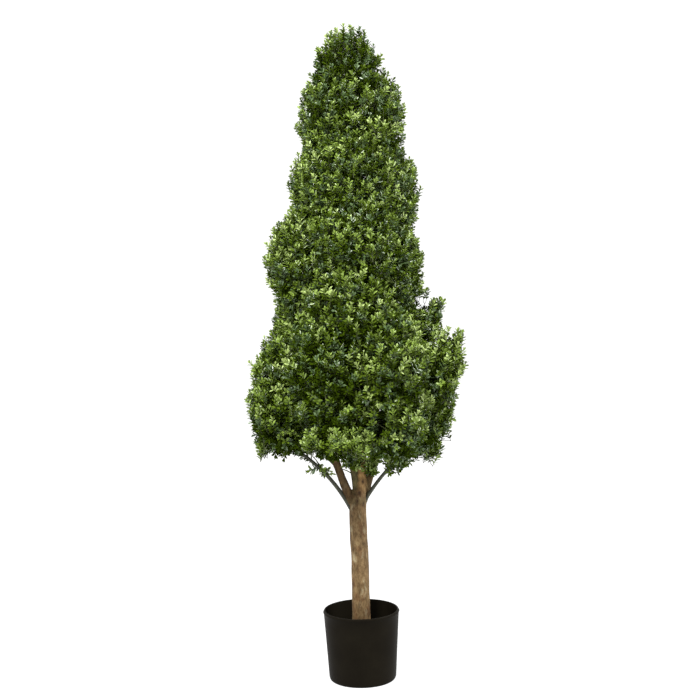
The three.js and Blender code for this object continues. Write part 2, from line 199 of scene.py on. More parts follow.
def settle(piece, slotName, *nodes):
    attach(piece, "root")
    if nodes:
        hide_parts(*nodes)
    return piece


# materials
def addNode(tree, kind, given, **values):
    # a node whose inputs are linked to other nodes' outputs or set to plain values
    node = tree.nodes.new(kind)
    for name, value in values.items():
        setattr(node, name, value)
    for place, source in given.items():
        if isinstance(source, bpy.types.NodeSocket):
            tree.links.new(source, node.inputs[place])
        else:
            node.inputs[place].default_value = source
    return node.outputs


def linear(hexColour):
    channels = [int(hexColour[i : i + 2], 16) / 255 for i in (0, 2, 4)]
    return [c / 12.92 if c < 0.04045 else ((c + 0.055) / 1.055) ** 2.4 for c in channels] + [1]


class Finish:
    # a new material, with short calls for its nodes
    def __init__(self, name, roughness, **sockets):
        self.material = bpy.data.materials.new(name)
        self.material.use_nodes = True
        self.tree = self.material.node_tree
        self.shader = self.tree.nodes["Principled BSDF"]
        self.shader.inputs["Roughness"].default_value = roughness
        for socket, value in sockets.items():
            self.shader.inputs[socket.replace("_", " ")].default_value = value
        self.place = self.add("ShaderNodeTexCoord", {})["Object"]

    def add(self, kind, given, **values):
        return addNode(self.tree, kind, given, **values)

    def attribute(self, name):
        return self.add("ShaderNodeAttribute", {}, attribute_name=name)["Fac"]

    def noise(self, scale, detail, stretch=None, rough=0.55):
        place = self.place
        if stretch:
            place = self.add("ShaderNodeMapping", {"Vector": place, "Scale": stretch})["Vector"]
        given = {"Vector": place, "Scale": scale, "Detail": detail, "Roughness": rough}
        return self.add("ShaderNodeTexNoise", given)["Fac"]

    def ramp(self, factor, *stops):
        node = self.tree.nodes.new("ShaderNodeValToRGB")
        elements = node.color_ramp.elements
        while len(elements) < len(stops):
            elements.new(0.5)
        for element, (position, colour) in zip(elements, stops):
            element.position = position
            element.color = linear(colour)
        self.tree.links.new(factor, node.inputs["Fac"])
        return node.outputs["Color"]

    def mixed(self, factor, first, second):
        return self.add("ShaderNodeMix", {0: factor, 6: first, 7: second}, data_type="RGBA")[2]

    def upTo(self, most, value, low, high):
        # 0 where the value is low, and this most where it is high
        return self.add("ShaderNodeMapRange", {0: value, 1: low, 2: high, 3: 0.0, 4: most})[0]

    def paint(self, colour):
        self.tree.links.new(colour, self.shader.inputs["Base Color"])

    def bump(self, height, strength, distance):
        given = {"Strength": strength, "Distance": distance, "Height": height}
        normal = self.add("ShaderNodeBump", given)["Normal"]
        self.tree.links.new(normal, self.shader.inputs["Normal"])


def mottled(name, roughness, grain, *stops, bumps=None, **sockets):
    # a material whose colours follow one noise, and its bumps another
    finish = Finish(name, roughness, **sockets)
    finish.paint(finish.ramp(finish.noise(*grain), *stops))
    if bumps:
        scale, detail, strength, distance = bumps
        finish.bump(finish.noise(scale, detail), strength, distance)
    return finish.material


# camera, lights and floor
studio = {
    "cameraBack": 3.6,
    "cameraRight": -0.013,
    "cameraHeight": 1.23,
    "cameraDown": 5.7,  # degrees
    "cameraRoll": 1.5,
    "lens": 69.3,
    "shift": 0.0179,
    "floorRadius": 5.5,
    "floorRings": (0.08, 0.3, 0.6, 1.0),
    "floorSides": 96,
    "sweepSteps": 12,
    "wallRadius": 8.0,
    "wallHeight": 3.2,
    "lampAim": 1.0,
    "sky": 0.6,
    "paper": 0.2,  # how much of the lamps' light the floor gives back
    "paperGlow": 0.93,
}
lamps = {
    "keyLight": {"at": (-0.8, -2.6, 3.9), "size": 0.7, "power": 250},
    "sideLight": {"at": (-2.6, -0.8, 3.4), "size": 1.0, "power": 80},
    "rimLight": {"at": (2.9, -0.5, 1.8), "size": 1.4, "power": 100},
}


def makeCamera(s):
    data = bpy.data.cameras.new("camera")
    data.sensor_width = 36
    data.lens = s["lens"]
    data.shift_y = s["shift"]
    camera = shown("camera", data)
    pitch = Matrix.Rotation(math.radians(90 - s["cameraDown"]), 4, "X")
    roll = Matrix.Rotation(math.radians(-s["cameraRoll"]), 4, "Z")
    place = Matrix.Translation((s["cameraRight"], -s["cameraBack"], s["cameraHeight"]))
    camera.matrix_world = place @ pitch @ roll
    bpy.context.scene.camera = camera


def makeLamps(lampSettings, aimHeight):
    aim = Vector((0, 0, aimHeight))
    for name, s in lampSettings.items():
        data = bpy.data.lights.new(name, "AREA")
        data.size = s["size"]
        data.energy = s["power"]
        lamp = shown(name, data)
        lamp.location = s["at"]
        lamp.rotation_euler = (aim - Vector(s["at"])).to_track_quat("-Z", "Y").to_euler()


def makeFloor(s):
    # a level floor that sweeps up into a wall all round
    radius = s["floorRadius"]
    sweep = [(radius * share, 0.0) for share in (0, *s["floorRings"])]
    sweep += quarter(radius, s["wallRadius"] - radius, s["wallHeight"], s["sweepSteps"])[1:]
    vertices, faces = spun(sweep, s["floorSides"])
    paper = Finish(
        "studioPaper",
        0.9,
        Base_Color=(s["paper"], s["paper"], s["paper"], 1),
        Emission_Color=(1, 1, 1, 1),
        Emission_Strength=s["paperGlow"],
        Specular_IOR_Level=0.0,
    )
    floor = newPiece("floor", vertices, [face[::-1] for face in faces], paper.material)


def makeSky(s):
    world = bpy.data.worlds.new("softbox")
    world.use_nodes = True
    background = world.node_tree.nodes["Background"]
    background.inputs["Color"].default_value = (1, 1, 1, 1)
    background.inputs["Strength"].default_value = s["sky"]
    bpy.context.scene.world = world
    bpy.context.scene.view_settings.view_transform = "Standard"


def spun(profile, sides):
    # turns a profile of (radius, height) about the Z axis, closed where it meets the axis
    vertices, faces, rows = [], [], []
    for radius, height in profile:
        if radius < 1e-6:
            rows.append([len(vertices)] * sides)
            vertices.append((0.0, 0.0, height))
            continue
        rows.append(range(len(vertices), len(vertices) + sides))
        for k in range(sides):
            turn = 2 * math.pi * k / sides
            vertices.append((radius * math.cos(turn), radius * math.sin(turn), height))
    for lower, higher in zip(rows, rows[1:]):
        for k in range(sides):
            corners = [lower[k], lower[(k + 1) % sides], higher[(k + 1) % sides], higher[k]]
            faces.append(list(dict.fromkeys(corners)))
    return vertices, faces


def arc(centre, radius, fromTurn, toTurn, steps):
    turns = np.radians(np.linspace(fromTurn, toTurn, steps))
    return [(centre[0] + radius * math.cos(t), centre[1] + radius * math.sin(t)) for t in turns]


def quarter(radius, width, height, steps):
    # a quarter of an ellipse that sweeps out from this radius and up
    turns = np.radians(np.linspace(0, 90, steps + 1))
    return [(radius + width * math.sin(t), height * (1 - math.cos(t))) for t in turns]


makeCamera(studio)
makeLamps(lamps, studio["lampAim"])
makeFloor(studio)
makeSky(studio)
print("studio ready")

# the pot: a thin moulded shell with a small rolled rim and a foot ring
pot = {
    "sides": 160,
    "wall": 0.0024,
    "wallLoops": (0.004, 0.02, 0.08, 0.15),  # heights of the outside's loops over its lower corner
    "cornerSteps": 8,
    "rimRound": 0.0016,
    "rimDrop": 0.0065,
    "ledge": (0.001, 0.0012),  # how far the turn under the rim reaches down and up
    "footRing": 0.005,
    "footRise": 0.0015,
    "edge": 0.0004,
    "innerDepth": 0.075,
    "innerDraft": 0.0006,
    "bottom": 0.0045,
}


def makePot(s):
    rings = ringsOf("pot")
    footRadius, (cornerRadius, cornerHeight) = rings[0, 3], rings[3, [3, 2]]
    rimRadius, rimHeight = rings[-1, 3], rings[-1, 2]
    wallTop = rimHeight - s["rimDrop"]
    slope = (rings[-3, 3] - cornerRadius) / (rings[-3, 2] - cornerHeight)
    outerTop = cornerRadius + slope * (wallTop - cornerHeight)
    foot, bend, wall, depth = s["footRing"], s["rimRound"], s["wall"], s["innerDepth"]
    profile = [(0.0, s["footRise"]), (footRadius - 2 * foot, s["footRise"])]
    profile += [(footRadius - foot, s["edge"]), (footRadius - 0.6 * foot, 0.0)]
    profile += quarter(footRadius, cornerRadius - footRadius, cornerHeight, s["cornerSteps"])
    profile += [(cornerRadius + slope * h, cornerHeight + h) for h in s["wallLoops"]]
    under, over = s["ledge"]
    profile += [(outerTop, wallTop - under), (outerTop + 0.4 * bend, wallTop)]
    profile += [(outerTop + bend, wallTop + over)]
    profile += arc((rimRadius - bend, rimHeight - bend), bend, 0, 90, 6)
    inner = rimRadius - bend - wall
    profile += arc((inner + bend, rimHeight - bend), bend, 100, 180, 5)
    profile += [(inner - s["edge"], wallTop)]
    profile += [(inner - slope * depth - s["innerDraft"], rimHeight - depth)]
    profile += [(cornerRadius - wall, cornerHeight), (footRadius - wall, s["bottom"])]
    profile += [(0.0, s["bottom"])]
    vertices, faces = spun(profile, s["sides"])
    shades = (0.3, "100d08"), (0.6, "14110b"), (0.85, "18150e")
    bumps = (900, 2, 0.06, 0.0004)
    plastic = mottled("blackPlastic", 0.5, (14, 5), *shades, bumps=bumps, Specular_IOR_Level=0.03)
    return settle(newPiece("pot_shell", vertices, faces, plastic), "pot", "pot")


filling = {
    "rings": 26,
    "sides": 90,
    "underside": 0.9,  # share of the full radius
    "shoulder": 0.006,  # how far below the solid's top the edge lies
    "skin": 0.003,
    "mound": (0.004, 0.05),  # height and width of the heap round the trunk
    "highest": 0.004,
    "roughness": 0.0022,
    "grain": 70,
}


def makeFilling(s):
    # a rough dark plug, slightly heaped round the trunk
    low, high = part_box("pot_filling")
    edge, skin = high.x, high.z - s["skin"]
    profile = [(0.0, low.z), (edge * s["underside"], low.z), (edge, high.z - s["shoulder"])]
    profile += [(edge * (1 - share), skin) for share in np.linspace(0, 1, s["rings"])]
    vertices, faces = spun(profile, s["sides"])
    mound, width = s["mound"]
    for i, (x, y, z) in enumerate(vertices):
        if z < skin:
            continue
        heap = mound * math.exp(-((math.hypot(x, y) / width) ** 2))
        lump = s["roughness"] * noise.fractal(Vector((x, y, 0.3)) * s["grain"], 1.0, 2.0, 4)
        vertices[i] = (x, y, min(z + heap + lump, high.z + s["highest"]))
    shades = (0.35, "100f0e"), (0.55, "191815"), (0.8, "24221e")
    cement = mottled("blackCement", 0.85, (160, 5), *shades, bumps=(160, 5, 0.5, 0.002))
    return settle(newPiece("pot_weight", vertices, faces, cement), "filling", "pot_filling")


makePot(pot)
makeFilling(filling)
print("pot and weight made")

# the trunk, its leader and the wooden limbs, grown into one at the fork
wood = {
    "voxel": 0.0021,
    "easing": 6,
    "sides": 36,
    "stations": 70,
    "limbStations": 24,
    "flare": (0.0015, 0.02),  # how far the foot widens, and up to what height
    "relief": [  # depth, how close it is across and along, and a shift that sets it apart
        (0.0012, 75, 6, 0),
        (0.0006, 260, 30, 0),
        (0.0012, 40, 22, 7),
    ],
    "fade": (0.9, 0.25),  # the relief fades over this length to this share at the tip
    "taping": {
        "above": 0.016,
        "width": 0.010,
        "turns": 0.0032,
        "slant": 0.05,
        "lift": 0.0006,
        "olive": 0.45,
    },
    "tones": {  # how much painted shade darkens each limb, and how olive it is
        "trunk": (0.0, 0.0),
        "limb_left": (0.55, 0.1),
        "limb_right": (0.35, 0.25),
        "limb_front": (0.95, 0.9),
    },
    "toneBlend": 0.002,
    "leader": (0.03, 0.08),  # how far above the forks' foot the trunk turns to its leader's brighter tan, partly its own colour and partly painted light
    "knots": [  # height, azimuth in degrees, size, height of its rim
        (0.519, 268, 0.005, 0.0014),
        (0.497, 262, 0.0045, 0.001),
        (0.548, 290, 0.005, 0.0012),
        (0.360, 130, 0.006, 0.0012),
        (0.260, 60, 0.005, 0.001),
        (0.470, 40, 0.005, 0.001),
    ],
    "knotShape": {  # in sizes of the knot
        "squat": 0.7,
        "rimAt": 1.1,
        "rimWidth": 0.45,
        "pitDepth": 1.1,
        "pitWidth": 0.6,
        "scarWidth": 0.85,
    },
}


def tube(line, radii, sides):
    # a closed round tube along a line, its section carried along without twist
    tangents = unit(np.gradient(line, axis=0))
    turns = 2 * np.pi * np.arange(sides) / sides
    across = unit(np.cross(tangents[0], [0.31, 0.93, 0.17]))
    vertices = []
    for point, tangent, radius in zip(line, tangents, radii):
        across = unit(across - tangent * (across @ tangent))
        side = np.cross(tangent, across)
        ring = point + radius * (np.outer(np.cos(turns), across) + np.outer(np.sin(turns), side))
        vertices += ring.tolist()
    faces = [list(range(sides))[::-1], list(range(len(vertices) - sides, len(vertices)))]
    for i in range(len(line) - 1):
        for j in range(sides):
            a, b = i * sides + j, i * sides + (j + 1) % sides
            faces.append([a, b, b + sides, a + sides])
    return vertices, faces


def gathered(shapes):
    # several shapes' vertices and faces as one
    allVertices, allFaces = [], []
    for vertices, faces in shapes:
        first = len(allVertices)
        allVertices += vertices
        allFaces += [[first + corner for corner in face] for face in faces]
    return allVertices, allFaces


def woodMaterial():
    finish = Finish("barkedWood", 0.8, Specular_IOR_Level=0.2)
    streaks = finish.noise(90, 7, stretch=(1, 1, 0.45), rough=0.78)
    blotches = finish.noise(42, 5, stretch=(1, 1, 0.7))
    flecks = finish.noise(70, 4, stretch=(1, 1, 0.4))

    def streaked(*colours):
        return finish.ramp(streaks, *colours)

    def overlaid(name, base, *colours):
        return finish.mixed(finish.attribute(name), base, streaked(*colours))

    tan = streaked((0.3, "322613"), (0.42, "524027"), (0.56, "6d583b"), (0.7, "8d7a56"))
    russet = streaked((0.3, "291b0f"), (0.45, "4a331d"), (0.7, "745737"))
    pale = streaked((0.3, "72644a"), (0.7, "aaa182"))
    base = finish.mixed(finish.upTo(0.75, blotches, 0.5, 0.6), tan, russet)
    base = finish.mixed(finish.upTo(0.6, flecks, 0.58, 0.72), base, pale)
    # the leader's brighter tan: partly its own colour, partly painted light
    base = overlaid("leader", base, (0.3, "503c20"), (0.5, "8a6b42"), (0.7, "b8945f"))
    # painted shade on the limbs
    base = overlaid("shade", base, (0.3, "20150b"), (0.5, "3a2814"), (0.7, "5c4122"))
    base = overlaid("olive", base, (0.3, "2a2615"), (0.5, "453f24"), (0.7, "6b633e"))
    finish.paint(overlaid("scar", base, (0.3, "23170f"), (0.7, "46301f")))
    finish.bump(finish.noise(150, 5, stretch=(1, 1, 0.2)), 0.35, 0.0012)
    return finish.material


def tonesOf(points, lines, s):
    # each point takes its tone from the limb that it lies on, blended where two meet
    weights = []
    for line, radii in lines.values():
        gap = np.full(len(points), 1.0)
        for middle, radius in zip(line, radii):
            gap = np.minimum(gap, lengths(points - middle) - radius)
        weights.append(np.exp(-gap / s["toneBlend"]))
    weights = np.array(weights) / np.sum(weights, axis=0)
    blended = [weights.T @ np.array([s["tones"][name][k] for name in lines]) for k in (0, 1)]
    return *blended, weights[list(lines).index("trunk")]


def shownNormals(mesh):
    normals = np.empty(3 * len(mesh.vertices))
    mesh.vertex_normals.foreach_get("vector", normals)
    return normals.reshape(-1, 3)


def knotted(points, s):
    # the rims and pits of the knots, and how far each darkens the wood
    shape = s["knotShape"]
    offsets, scars = np.zeros(len(points)), np.zeros(len(points))
    for height, azimuth, size, rim in s["knots"]:
        turn = math.radians(azimuth)
        radius = np.interp(height, trunkRings[:, 2], trunkRings[:, 3])
        centre = trunkAt(height) + radius * np.array([math.cos(turn), math.sin(turn), 0])
        away = lengths((points - centre) * [1, 1, shape["squat"]]) / size
        offsets += rim * np.exp(-(((away - shape["rimAt"]) / shape["rimWidth"]) ** 2))
        offsets -= rim * shape["pitDepth"] * np.exp(-((away / shape["pitWidth"]) ** 2))
        scars = np.maximum(scars, np.exp(-((away / shape["scarWidth"]) ** 2)))
    return offsets, scars


def carve(mesh, s):
    # long flutes, a fine grain, lumps and knots, along the mesh's own normals
    points = coordinates(mesh)
    offsets, scars = knotted(points, s)
    for depth, across, along, shift in s["relief"]:
        spots = points * [across, across, along] + [shift, 0, 0]
        offsets += depth * np.array([noise.noise(Vector(spot)) for spot in spots])
    length, least = s["fade"]
    fade = np.clip((trunkTop - points[:, 2]) / length, least, 1)
    points += shownNormals(mesh) * (offsets * fade)[:, None]
    mesh.vertices.foreach_set("co", points.ravel())
    setAttribute(mesh, "scar", "FLOAT", scars)


def dress(mesh, lines, s):
    # the tape round the fork, and where the leader's colour, the limbs' painted shade and their olive
    # tones lie
    points = coordinates(mesh)
    shade, olive, leader = tonesOf(points, lines, s)
    leader = leader * np.interp(points[:, 2] - forkFoot, s["leader"], (0, 1))
    tape = s["taping"]
    taped = np.exp(-(((points[:, 2] - forkFoot - tape["above"]) / tape["width"]) ** 4))
    turns = (points[:, 2] + tape["slant"] * points[:, 0]) / tape["turns"]
    winding = 0.5 + 0.5 * np.sin(2 * np.pi * turns)
    points += shownNormals(mesh) * (taped * tape["lift"] * (0.5 + winding))[:, None]
    mesh.vertices.foreach_set("co", points.ravel())
    olive = np.maximum(olive, tape["olive"] * taped * (0.6 + 0.4 * winding))
    for name, values in (("leader", leader), ("shade", shade), ("olive", olive)):
        setAttribute(mesh, name, "FLOAT", values)
    mesh.update()


def makeWood(s):
    line, radii = trunkLine(s["stations"])
    widening, height = s["flare"]
    radii += widening * np.exp(-(line[:, 2] - trunkFoot) / height)
    lines = {"trunk": (line, radii)}
    for name in limbs:
        lines[name] = limbLine(name, s["limbStations"])
    tubes = [tube(*shape, s["sides"]) for shape in lines.values()]
    worker = newPiece("woodwork", *gathered(tubes))
    remesh = worker.modifiers.new("grown together", "REMESH")
    remesh.mode = "VOXEL"
    remesh.voxel_size = s["voxel"]
    worker.modifiers.new("eased", "SMOOTH").iterations = s["easing"]
    piece = plainMesh(worker, "woodwork")
    carve(piece.data, s)
    dress(piece.data, lines, s)
    piece.data.materials.clear()
    piece.data.materials.append(woodMaterial())
    piece.data.shade_smooth()
    return settle(piece, "trunk_wood", "trunk", *limbs)


makeWood(wood)
print("woodwork made")

# the wrapped wire stems, with the ridges of their winding
wire = {"sides": 12, "stations": 40, "pitch": 0.006, "ridge": 0.05, "step": 0.0012}


def makeStems(s):
    shades = (0.3, "1c1e12"), (0.55, "2e301e"), (0.8, "484a31")
    wrap = mottled("wireWrap", 0.55, (90, 4), *shades, bumps=(400, 3, 0.2, 0.0005))
    sides, at = s["sides"], np.linspace(0, 1, s["stations"])
    for name in stems:
        line, radii = limbLine(name, s["stations"])
        length = lengths(np.diff(line, axis=0)).sum()
        shares = np.linspace(0, 1, int(length / s["step"]))
        line = np.stack([np.interp(shares, at, line[:, axis]) for axis in range(3)], 1)
        vertices, faces = tube(line, np.interp(shares, at, radii), sides)
        vertices = np.array(vertices).reshape(len(shares), sides, 3)
        winding = 2 * np.pi * (shares[:, None] * length / s["pitch"] - np.arange(sides) / sides)
        grown = 1 + s["ridge"] * np.cos(winding)[:, :, None]
        vertices = line[:, None] + (vertices - line[:, None]) * grown
        piece = newPiece(name + "_wound", vertices.reshape(-1, 3).tolist(), faces, wrap)
        settle(piece, "wire_stem", name)


makeStems(wire)
print("stems made")

# the crown: masses of sprays on twigs that fork, each mass in the space of its own solid
crown = {
    "seed": 11,
    "heightOverWidth": 1.2,  # of every mass's space
    # a tip within "level" of the top is the spire's. The solid counts from "clear" to "share" of the
    # radius behind a mass's tip
    "fit": {"level": 0.001, "radius": 0.09, "rounds": 4, "clear": 0.005, "share": 0.9},
    "overlap": 0.002,  # how far tips may reach into the next mass's space
    "layers": [  # how far below the crown's surface the tips lie, and how far apart
        {"depth": 0.0115, "spacing": 0.0178, "scatter": 0.0065},
        {"depth": 0.024, "spacing": 0.0196, "scatter": 0.006},
        {"depth": 0.042, "spacing": 0.0250, "scatter": 0.007},
        {"depth": 0.066, "spacing": 0.0330, "scatter": 0.009},
    ],
    "grown": [1.0, 1.05, 1.35, 1.8],  # how much larger the sprays of each layer are
    "levels": [0.47, 0.75],  # shares of the trunk's height that pairs of values belong to
    "grownByLevel": [1.14, 0.98],
    "billow": [0.105, 0.075],  # size of the small lobes
    "groove": [0.026, 0.010],  # how deep the grooves between them are
    "grooveWidth": 0.30,
    "facingStep": 0.2,  # in sizes of the small lobes
    "crest": 0.011,  # how much further tips reach that point straight up
    "jitter": 0.25,  # of the even spacing
    "scatterLimits": (-0.015, 0.010),
    "crownTop": (0.92, 1.03),  # shares of the trunk's height between which the very top begins
    "looseTop": 0.5,  # how much more the tips scatter there
    "outward": 0.6,
    "rise": 1.05,
    "hang": 1.25,  # how soon sprays that point down stop rising
    "wander": 0.22,
    "patch": 0.08,  # size of the lighter and darker patches
    "lit": {  # how much each of these adds to a spray's painted light, which picks its leaf tint: lobe tops, sides that turn up, steep tips and tips that stand out get lighter tints; patch and chance vary it at random
        "tops": 0.2,
        "facing": 0.8,
        "rise": 0.4,
        "patch": 0.6,
        "scatter": 0.2,
        "chance": 0.6,
    },
    # painted shade: darker tints on the undersides of the lower masses, and on the very top of the
    # crown
    "paintedShadeUnder": [1.5, 0.0],
    "paintedShadeTop": 0.7,
    "litMasses": {  # the masses whose leaves get more painted light or more painted shade than the rest
        "low_front_left": -0.55,
        "skirt_front_left": -0.40,
        "skirt_front_right": 0.45,
        "low_front_right": 0.15,
        "low_left": 0.15,
        "waist_left": 0.35,
        "low_outer_right": 0.5,
    },
    # sprays on limbs, and in bunches that stand out
    "hung": {"rise": 0.5, "lift": 0.3, "lightScatter": 0.5},
    "shot": {"limit": 1.3, "lightScatter": 0.4},
    "sprayLength": 0.030,
    "limbClearance": 0.010,
    "limbStations": (160, 30),  # along the trunk and along each limb
    "forkAt": 0.5,
    "twigRadius": 0.0008,
    "twigPower": 0.33,  # how a twig thickens with the number of tips that it carries
    # a mass's own stem leaves the trunk this far under its heart, and sags on its way, both in radii
    "stem": {"drop": 0.55, "bendAt": 0.6, "sag": 0.04},
    "nearForks": 8,  # that a deeper spray chooses from
    "spraySpine": {"share": 0.97, "taper": 0.3},
    "sideTwig": {"bow": 0.08, "taper": 0.6, "pieces": 4},
}
pockets = [  # open places: the two masses beside each, how far off their middle, half the size
    ("waist_right", "low_outer_right", (0.024, 0, -0.002), (0.030, 0.13, 0.013)),
    ("middle_right", "waist_right", (0.084, 0, -0.022), (0.027, 0.14, 0.022)),
    ("skirt_front_left", "skirt_front_right", (0.045, 0, -0.012), (0.015, 0.14, 0.056)),
    ("skirt_left", "skirt_front_left", (-0.005, -0.070, -0.040), (0.075, 0.055, 0.017)),
    ("skirt_back_left", "skirt_back_right", (0.062, -0.060, -0.006), (0.018, 0.28, 0.032)),
]
hangers = [  # sprays that sit on a limb: shares of its length, count, spread, shift, painted light
    ("stem_right", (0.55, 1.0), 44, (0.026, 0.030, 0.012), (0.010, 0, 0.004), 0.3),
    ("stem_right", (0.85, 1.0), 16, (0.022, 0.020, 0.010), (0.036, 0, 0.006), 0.3),
    ("limb_right", (0.28, 0.50), 17, (0.012, 0.012, 0.010), (-0.006, -0.020, 0), 1.0),
    ("limb_front", (0.34, 0.60), 20, (0.014, 0.018, 0.012), (0.004, -0.012, 0), 0.4),
    ("stem_left", (0.55, 0.72), 5, (0.008, 0.008, 0.003), (0, 0, -0.004), 0.2),
    ("stem_left", (0.78, 1.0), 14, (0.014, 0.020, 0.008), (0, 0, 0.006), 0.2),
]
shoots = [  # bunches that stand out of a mass: which way, how far past it, count, spread, painted light
    ("waist_right", (0.86, -0.1, 0.48), 0.000, 12, 0.009, 0.4),
    ("low_outer_right", (0.66, -0.1, 0.74), 0.008, 12, 0.008, 0.5),
    ("low_outer_right", (0.97, -0.1, -0.15), -0.012, 9, 0.008, 0.5),
    ("low_outer_right", (0.45, -0.1, -0.88), -0.002, 9, 0.008, 0.3),
    ("low_left", (-0.95, -0.1, 0.18), -0.016, 12, 0.012, 0.6),
    ("spire", (0.93, -0.1, 0.30), -0.006, 7, 0.007, 0.4),
    ("skirt_left", (-0.60, -0.1, -0.78), -0.006, 12, 0.012, 0.3),
    ("skirt_right", (0.50, -0.1, -0.86), -0.002, 14, 0.012, 0.3),
    ("skirt_front_left", (-0.55, -0.71, -0.42), 0.000, 24, 0.016, 1.0),
    ("skirt_front_left", (0.05, -0.88, -0.45), -0.008, 24, 0.015, 1.0),
    ("skirt_front_left", (0.56, -0.67, -0.49), 0.000, 22, 0.016, 1.0),
]
sideTwigs = [  # bare thin twigs that leave a limb: share of its length, reach, radius
    ("limb_front", 0.22, (-0.036, -0.012, 0.020), 0.0020),
    ("limb_front", 0.24, (-0.024, -0.014, 0.052), 0.0014),
    ("limb_front", 0.34, (-0.018, -0.012, 0.044), 0.0012),
    ("stem_left", 0.52, (-0.052, 0.010, 0.066), 0.0018),
    ("stem_left", 0.60, (-0.030, -0.012, 0.050), 0.0010),
    ("stem_right", 0.50, (0.030, 0.012, 0.052), 0.0012),
]
squeeze = np.array([1, 1, 1 / crown["heightOverWidth"]])
boughTips = [placesOn(name, 1) for name in limbs + stems]


def spaceOf(mass, fit):
    # a mass's outermost tip lies level with its heart, so the roundest ellipsoid that touches the
    # solid there and holds its outer half is the mass's space
    points = pointsOf("foliage_" + mass) * squeeze
    if points[:, 2].max() > cadBox[1][2] * squeeze[2] - fit["level"]:
        outward = upward
    else:
        tip = points.mean(0)
        for _ in range(2):
            outward = unit((tip - trunkAt(tip[2] / squeeze[2]) * squeeze) * [1, 1, 0])
            tip = points[np.argmax(points @ outward)]
    tip = points[np.argmax(points @ outward)]
    away = tip - points
    depth = away @ outward
    radius = fit["radius"]
    for _ in range(fit["rounds"]):
        front = (depth > fit["clear"]) & (depth < fit["share"] * radius)
        radius = ((away[front] ** 2).sum(1) / (2 * depth[front])).max()
    return tip - radius * outward, radius


hearts, reaches = map(np.array, zip(*[spaceOf(mass, crown["fit"]) for mass in masses]))


def evenDirections(count, firstTurn):
    steps = np.arange(count)
    rise = 1 - (2 * steps + 1) / count
    flat = np.sqrt(1 - rise**2)
    turns = firstTurn + steps * np.pi * (3 - math.sqrt(5))
    return np.stack([flat * np.cos(turns), flat * np.sin(turns), rise], 1)


def limbPoints(trunkStations, stations):
    # points down the middle of the trunk and every limb, with the radius there
    lines = [trunkLine(trunkStations)] + [limbLine(name, stations) for name in limbs + stems]
    return [np.concatenate(part) for part in zip(*lines)]


limbMiddles, limbRadii = limbPoints(*crown["limbStations"])


def clearOfLimbs(points, clearance):
    gaps = lengths(points[:, None] - limbMiddles[None]) - limbRadii[None]
    return gaps.min(1) > clearance


def gapsToMasses(points, depth):
    # how far squeezed points lie outside of each mass's space at this depth
    return lengths(points[:, None] - hearts[None]) - (reaches - depth)[None]


def byLevel(heights, pair, s):
    # a value that changes with height from the first of a pair to the second
    return np.interp(heights / trunkTop, s["levels"], pair)


def billows(places, s):
    # 0 in the narrow grooves between small lobes, up to 1 on top of them
    sizes = byLevel(places[:, 2], s["billow"], s)
    heights = np.array([abs(noise.noise(Vector(place))) for place in places / sizes[:, None]])
    return np.clip(heights / s["grooveWidth"], 0, 1)


def facings(places, s):
    # above 0 where a small lobe's side turns up, below 0 where it turns down
    step = s["facingStep"] * byLevel(places[:, 2], s["billow"], s)[:, None] * upward
    return billows(places - step, s) - billows(places + step, s)


def joined(parts):
    return {key: np.concatenate([part[key] for part in parts]) for key in parts[0]}


def kept(sprays, mask):
    return {key: values[mask] for key, values in sprays.items()}


def wandering(count, s, random):
    return s["wander"] * random.normal(0, 1, (count, 3))


def bunch(tips, aims, owners, light, roots=np.nan, layer=0):
    # a table of sprays. Those with a root sit on a limb, the rest on their own mass's twigs
    return {
        "tip": tips,
        "aim": unit(aims),
        "owner": owners,
        "layer": np.full(len(tips), layer),
        "light": light,
        "root": np.broadcast_to(roots, tips.shape),
    }


def spreadOver(layer, s, random):
    # even places over each mass's space at one depth, where no other mass holds them
    parts = []
    for i, (heart, reach) in enumerate(zip(hearts, reaches)):
        radius = reach - layer["depth"]
        count = int(4 * np.pi * radius**2 / layer["spacing"] ** 2)
        directions = evenDirections(count, random.uniform(0, 2 * np.pi))
        jitter = s["jitter"] * layer["spacing"] / radius
        directions = unit(directions + random.normal(0, jitter, directions.shape))
        points = heart + radius * directions
        gaps = gapsToMasses(points, layer["depth"])
        gaps[:, i] = 1
        free = gaps.min(1) > -s["overlap"]
        part = {"tip": points[free] / squeeze, "normal": unit(directions[free] * squeeze)}
        part["surface"] = (heart + reach * directions[free]) / squeeze
        part["owner"] = np.full(free.sum(), i)
        parts.append(part)
    return joined(parts)


def layerSprays(number, s, random):
    # sprays all over the crown at one depth, and the painted light that picks their tints
    layer, lit = s["layers"][number], s["lit"]
    places = spreadOver(layer, s, random)
    tips, normals, owners = places["tip"], places["normal"], places["owner"]
    steepness, underside = normals[:, 2], (-normals[:, 2]).clip(0, 1)
    tops = billows(places["surface"], s)
    crownTop = np.interp(tips[:, 2], np.array(s["crownTop"]) * trunkTop, (0, 1))
    scatter = random.normal(0, layer["scatter"], len(tips)).clip(*s["scatterLimits"])
    scatter *= 1 + s["looseTop"] * crownTop
    shift = scatter - byLevel(tips[:, 2], s["groove"], s) * (1 - tops) ** 2
    shift += s["crest"] * steepness.clip(0, 1) ** 2
    tips = tips + normals * shift[:, None]
    rise = s["rise"] * (1 + s["hang"] * steepness[:, None]).clip(0, 1)
    aims = s["outward"] * normals + rise * upward + wandering(len(tips), s, random)
    patches = np.array([noise.noise(Vector(tip) / s["patch"]) for tip in tips])
    # painted light and shade: a score, not a lamp, that picks each spray's tint from dark to light
    light = lit["tops"] * tops + lit["facing"] * facings(places["surface"], s)
    light += lit["rise"] * steepness + lit["patch"] * patches
    light -= byLevel(tips[:, 2], s["paintedShadeUnder"], s) * underside + s["paintedShadeTop"] * crownTop
    light += lit["scatter"] * scatter / layer["scatter"]
    light += lit["chance"] * random.normal(0, 1, len(tips))
    light += np.array([s["litMasses"].get(mass, 0) for mass in masses])[owners]
    return bunch(tips, aims, owners, light, layer=number)


